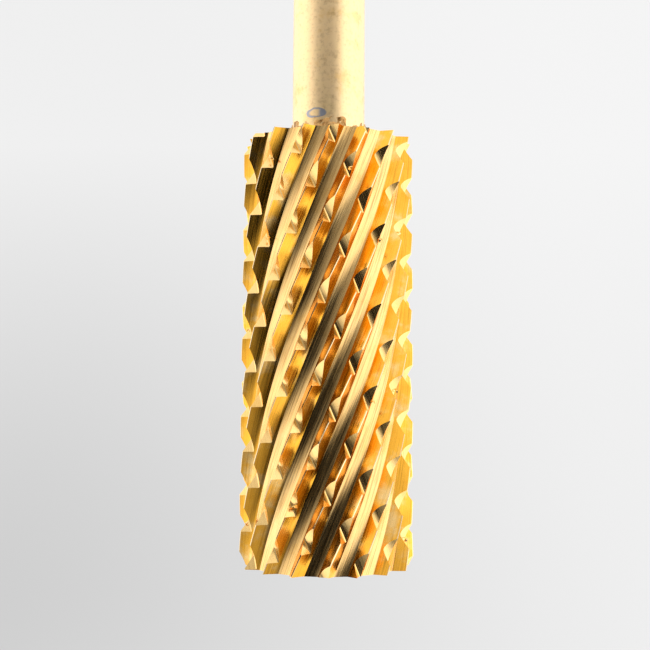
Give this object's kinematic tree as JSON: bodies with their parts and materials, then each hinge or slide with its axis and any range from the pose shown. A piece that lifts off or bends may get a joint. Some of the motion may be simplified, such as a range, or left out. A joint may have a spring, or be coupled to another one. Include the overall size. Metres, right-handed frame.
{
  "type": "rotary end mill",
  "caption": "Cross-cut cylindrical rotary end mill: a right-hand fluted carbide head with chip-breaking grooves, brazed to a straight steel shank that a collet grips.",
  "frame": {"origin": "centre of the flat tip face of the cutting head", "axes": "+Z along the tool axis from the tip to the shank's free end, -Y towards the viewer of the front"},
  "size_m": [0.0054, 0.0054, 0.0445],
  "materials": {
    "coated_carbide": "ground cemented carbide under a bright gold nitride coating",
    "braze_alloy": "dull brownish-gold silver-solder fillet with a lumpy surface",
    "coated_steel": "centreless-ground steel under the same gold coating, lightly mottled"
  },
  "bodies": {
    "root": {"cutting_head": "coated_carbide", "braze_joint": "braze_alloy", "shank": "coated_steel"}
  },
  "joints": []
}
